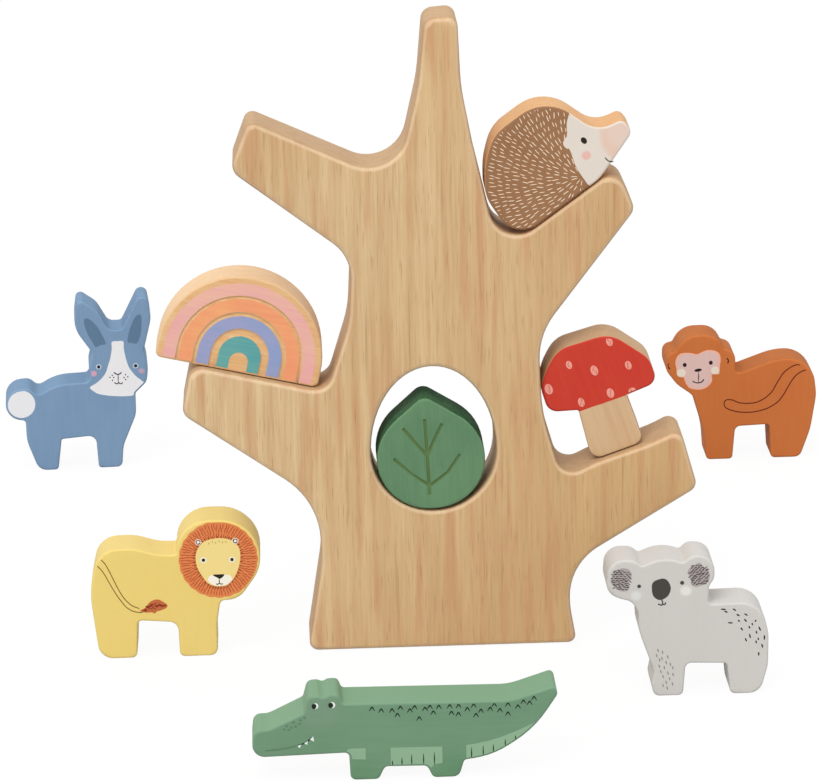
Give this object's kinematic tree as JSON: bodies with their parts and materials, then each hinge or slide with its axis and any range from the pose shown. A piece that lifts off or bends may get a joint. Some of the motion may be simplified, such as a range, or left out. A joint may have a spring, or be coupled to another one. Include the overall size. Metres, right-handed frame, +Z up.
{
  "type": "balancing tree game",
  "caption": "Flat wooden tree board that stands upright, with an egg-shaped opening in its trunk, and sawn wooden animal, rainbow, leaf and mushroom blocks to stack on its branches.",
  "frame": {"origin": "middle of the trunk's base, on the floor and halfway through the tree board", "axes": "+Z up the tree, -Y towards the viewer and square to the tree's front face, +X to the right"},
  "size_m": [0.3637, 0.3965, 0.2514],
  "materials": {
    "tree": "bare light hardwood, sanded, clear matt oil",
    "rainbow": "bare wood edge, matt printed colour bands with cut grooves between them",
    "hedgehog": "warm bare wood edge, matt printed faces",
    "mushroom": "bare wood edge and stem, matt red printed cap",
    "leaf": "matt green paint, engraved veins",
    "rabbit": "matt paint with printed face and markings",
    "monkey": "matt paint with printed face and markings",
    "lion": "matt paint with printed face and markings",
    "koala": "matt paint with printed face and markings",
    "crocodile": "matt paint with printed face and markings"
  },
  "bodies": {
    "tree": {"tree": "tree"},
    "rainbow": {"rainbow": "rainbow"},
    "hedgehog": {"hedgehog": "hedgehog"},
    "mushroom": {"mushroom": "mushroom"},
    "leaf": {"leaf": "leaf"},
    "rabbit": {"rabbit": "rabbit"},
    "monkey": {"monkey": "monkey"},
    "lion": {"lion": "lion"},
    "koala": {"koala": "koala"},
    "crocodile": {"crocodile": "crocodile"}
  },
  "joints": [
    {"name": "rainbow_lift", "type": "slide", "parent": "tree", "child": "rainbow", "axis": [-0.866, 0, 0.5], "range_m": [0, 0.12]},
    {"name": "hedgehog_lift", "type": "slide", "parent": "tree", "child": "hedgehog", "axis": [0, 0, 1], "range_m": [0, 0.08]},
    {"name": "mushroom_lift", "type": "slide", "parent": "tree", "child": "mushroom", "axis": [0.7071, 0, 0.7071], "range_m": [0, 0.08]},
    {"name": "leaf_push", "type": "slide", "parent": "tree", "child": "leaf", "axis": [0, -1, 0], "range_m": [-0.06, 0.06]},
    {"name": "rabbit_lift", "type": "slide", "parent": "tree", "child": "rabbit", "axis": [0, 0, 1], "range_m": [0, 0.1]},
    {"name": "monkey_lift", "type": "slide", "parent": "tree", "child": "monkey", "axis": [0, 0, 1], "range_m": [0, 0.1]},
    {"name": "lion_lift", "type": "slide", "parent": "tree", "child": "lion", "axis": [0, -0.8, 0.6], "range_m": [0, 0.08]},
    {"name": "koala_lift", "type": "slide", "parent": "tree", "child": "koala", "axis": [0, 0, 1], "range_m": [0, 0.1]},
    {"name": "crocodile_lift", "type": "slide", "parent": "tree", "child": "crocodile", "axis": [0, 0, 1], "range_m": [0, 0.1]}
  ]
}
